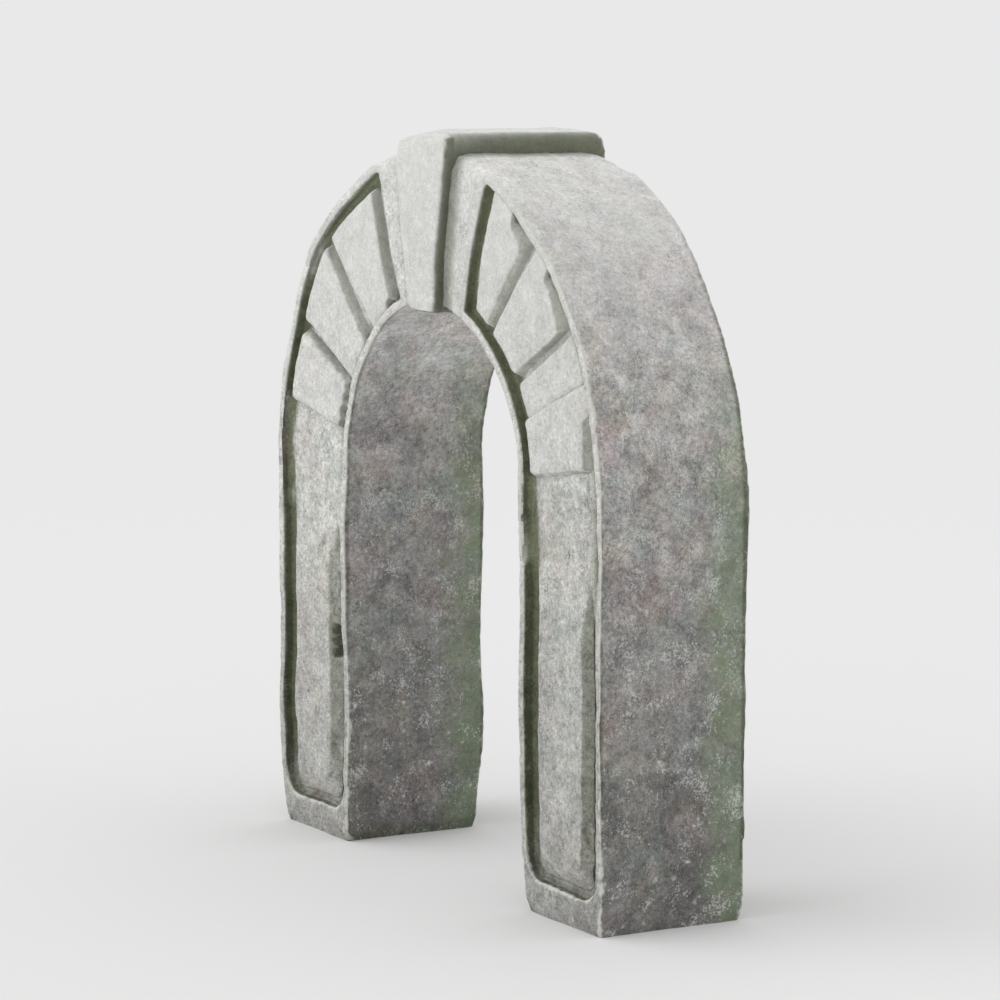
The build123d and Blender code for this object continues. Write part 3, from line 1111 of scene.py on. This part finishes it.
def add_crusts(tree, place, finish, colour):
    """Pale crusts, and between them dark ones."""
    for offset, amount, crust in (((9.1, 4.3, 2.8), finish.dark_crust, CRUST_DARK),
                                  ((0.0, 0.0, 0.0), finish.pale_crust, LICHEN_PALE)):
        mask = use(tree, lichen, Vector=moved(tree, place, offset), Amount=amount)["Mask"]
        colour = blend(tree, maths(tree, "MULTIPLY", mask, amount), colour, crust)
    return colour


def add_dirt_and_shade(tree, marks, finish, colour):
    """Olive dirt and painted shade in hollows, on the recess walls and in the grooves, and moss and painted
    shade round the keystone.
    """
    dirt_and_shade = maths(tree, "MULTIPLY", marks["Hollow"], finish.hollow)
    for label, share in (("Wall", finish.wall), ("Groove", finish.groove)):
        dirt_and_shade = maths(tree, "MAXIMUM", dirt_and_shade, maths(tree, "MULTIPLY", marks[label], share))
    # Olive round the keystone: partly moss, partly painted shade.
    colour = blend(tree, maths(tree, "MULTIPLY", marks["Lip"], finish.lip), colour, KEY_MOSS_AND_SHADE_OLIVE, "MULTIPLY")
    grimy_and_shaded = blend(tree, 0.6, HOLLOW_OLIVE, blend(tree, 1.0, colour, GRIME_AND_SHADE, "MULTIPLY"))
    return blend(tree, dirt_and_shade, colour, grimy_and_shaded)


def add_rust(tree, place, mottle, colour):
    """The one rusty spot, low on the right rim."""
    gap = add(tree, "ShaderNodeVectorMath", {"operation": "DISTANCE"})
    tree.links.new(place, gap.inputs[0])
    gap.inputs[1].default_value = RUST_PLACE
    ragged = maths(tree, "MULTIPLY_ADD", mottle["Value"], 0.06, gap.outputs["Value"])
    return blend(tree, fade(tree, ragged, RUST_SIZE, 0.3 * RUST_SIZE), colour, RUST)


def stone(slot, finish):
    material = bpy.data.materials.new(slot)
    material.use_nodes = True
    tree = material.node_tree
    shader = tree.nodes["Principled BSDF"]
    place = add(tree, "ShaderNodeTexCoord").outputs["Object"]
    marks = use(tree, relief, Vector=place)
    mottle = use(tree, grain, Vector=place)
    colour = use(tree, greys, Vector=place, Frontal=marks["Frontal"], Under=marks["Under"])["Color"]
    colour = blend(tree, finish.whiten, colour, LICHEN_PALE)
    tint = maths(tree, "MULTIPLY_ADD", marks["Frontal"], finish.tint * (FRONT_TINT - 1), finish.tint)
    colour = use(tree, tints, Vector=place, Color=colour, Strength=tint)["Color"]
    brightness = maths(tree, "MULTIPLY_ADD", mottle["Value"], finish.contrast, 1.0)
    lit = add(tree, "ShaderNodeVectorMath", {"operation": "SCALE"}, Scale=brightness)
    tree.links.new(colour, lit.inputs[0])
    colour = blend(tree, use(tree, algae, Vector=place)["Mask"],
                   lit.outputs[0], blend(tree, 0.6, lit.outputs[0], ALGAE_GREEN))
    colour = add_crusts(tree, place, finish, colour)
    # Paler arrises: partly wear, partly a painted highlight.
    colour = blend(tree, maths(tree, "MULTIPLY", marks["Arris"], finish.arris), colour, ARRIS_PALE)
    colour = add_dirt_and_shade(tree, marks, finish, colour)
    colour = add_rust(tree, place, mottle, colour)
    tree.links.new(colour, shader.inputs["Base Color"])
    roughness = maths(tree, "MULTIPLY_ADD", mottle["Height"], 0.2, 0.75, clamp=True)
    tree.links.new(roughness, shader.inputs["Roughness"])
    shader.inputs["Specular IOR Level"].default_value = 0.25
    bump = add(tree, "ShaderNodeBump", None, Strength=0.8, Distance=0.03, Height=mottle["Height"])
    tree.links.new(bump.outputs["Normal"], shader.inputs["Normal"])
    return material


finishes = {slot: stone(slot, finish) for slot, finish in FINISHES.items()}
for piece in pieces.values():
    piece.data.materials.clear()
    piece.data.materials.append(finishes[piece["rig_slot"]])
print("materials:", ", ".join(finishes))

# %% [markdown]
# The stage: a plain pale floor, and a plain pale background behind it. Far from the arch
# the floor's colour runs softly into the background's, so that no horizon shows. The
# world has two levels: the background that is seen, and the even white dome that lights.

# %% Floor and background
FLOOR_GREY = (0.70, 0.70, 0.70, 1.0)
BACKGROUND = (0.815, 0.815, 0.815, 1.0)
SKY_LEVEL = 1.0
FLOOR_RADIUS = 60
HORIZON = (12.0, 22.0)

bpy.ops.object.select_all(action="DESELECT")
bpy.ops.mesh.primitive_circle_add(vertices=96, radius=FLOOR_RADIUS, fill_type="NGON")
ground = bpy.context.object
ground.name = "floor"
floor_finish = bpy.data.materials.new("floor")
floor_finish.use_nodes = True
tree = floor_finish.node_tree
plain = tree.nodes["Principled BSDF"]
plain.inputs["Base Color"].default_value = FLOOR_GREY
plain.inputs["Roughness"].default_value = 0.9
plain.inputs["Specular IOR Level"].default_value = 0.1
distance = add(tree, "ShaderNodeVectorMath", {"operation": "LENGTH"})
tree.links.new(add(tree, "ShaderNodeTexCoord").outputs["Object"], distance.inputs[0])
glow = add(tree, "ShaderNodeEmission", None, Color=BACKGROUND, Strength=1.0)
mixed = add(tree, "ShaderNodeMixShader", None, Fac=fade(tree, distance.outputs["Value"], *HORIZON))
tree.links.new(plain.outputs[0], mixed.inputs[1])
tree.links.new(glow.outputs[0], mixed.inputs[2])
tree.links.new(mixed.outputs[0], tree.nodes["Material Output"].inputs["Surface"])
ground.data.materials.append(floor_finish)

world = bpy.data.worlds.new("studio")
bpy.context.scene.world = world
world.use_nodes = True
tree = world.node_tree
tree.nodes.clear()
light_path = tree.nodes.new("ShaderNodeLightPath")
seen = add(tree, "ShaderNodeBackground", None, Color=BACKGROUND, Strength=1.0)
sky = add(tree, "ShaderNodeBackground", None, Color=(1.0, 1.0, 1.0, 1.0), Strength=SKY_LEVEL)
seen_by = maths(tree, "MAXIMUM", light_path.outputs["Is Camera Ray"], light_path.outputs["Is Glossy Ray"])
seen_by = maths(tree, "MAXIMUM", seen_by, light_path.outputs["Is Transmission Ray"])
both = add(tree, "ShaderNodeMixShader", None, Fac=seen_by)
tree.links.new(sky.outputs[0], both.inputs[1])
tree.links.new(seen.outputs[0], both.inputs[2])
tree.links.new(both.outputs[0], add(tree, "ShaderNodeOutputWorld").inputs["Surface"])
print("floor and background are in place")

# %% [markdown]
# The light is a soft studio light: an even dome, and one broad lamp high at the front
# left, which makes the front a little brighter than the sides.

# %% Lamp
LAMP_FROM = Vector((-3.0, -6.0, 9.0))
LAMP_STRENGTH = 0.7
bpy.ops.object.light_add(type="SUN", location=LAMP_FROM)
lamp = bpy.context.object
lamp.name = "studio_lamp"
lamp.data.energy = LAMP_STRENGTH
lamp.data.angle = math.radians(50)
lamp.rotation_euler = (-LAMP_FROM).to_track_quat("-Z", "Y").to_euler()
print("lamp strength", round(lamp.data.energy, 2))

# %% [markdown]
# The camera stands far off at the front right and a little above the keystone, and looks
# down gently through a long lens, so the upright edges stay almost parallel.

# %% Camera
VIEW_AZIMUTH = math.radians(60.316)
VIEW_ELEVATION = math.radians(7.342)
VIEW_DISTANCE = 28.768
VIEW_UP = 0.068
VIEW_RIGHT = 0.004
LENS = 156.78
SENSOR = 36.0

away = Vector((
    math.sin(VIEW_AZIMUTH) * math.cos(VIEW_ELEVATION),
    -math.cos(VIEW_AZIMUTH) * math.cos(VIEW_ELEVATION),
    math.sin(VIEW_ELEVATION),
))
across = Vector((math.cos(VIEW_AZIMUTH), math.sin(VIEW_AZIMUTH), 0))
centre = Vector((0, 0, CROWN / 2)) + away.cross(across) * VIEW_UP + across * VIEW_RIGHT
bpy.ops.object.camera_add(location=centre + away * VIEW_DISTANCE)
camera = bpy.context.object
camera.rotation_euler = (-away).to_track_quat("-Z", "Y").to_euler()
camera.data.lens = LENS
camera.data.sensor_width = SENSOR
camera.data.clip_end = 500
bpy.context.scene.camera = camera
bpy.context.scene.view_settings.view_transform = "Standard"
print("camera at", tuple(round(value, 2) for value in camera.location))
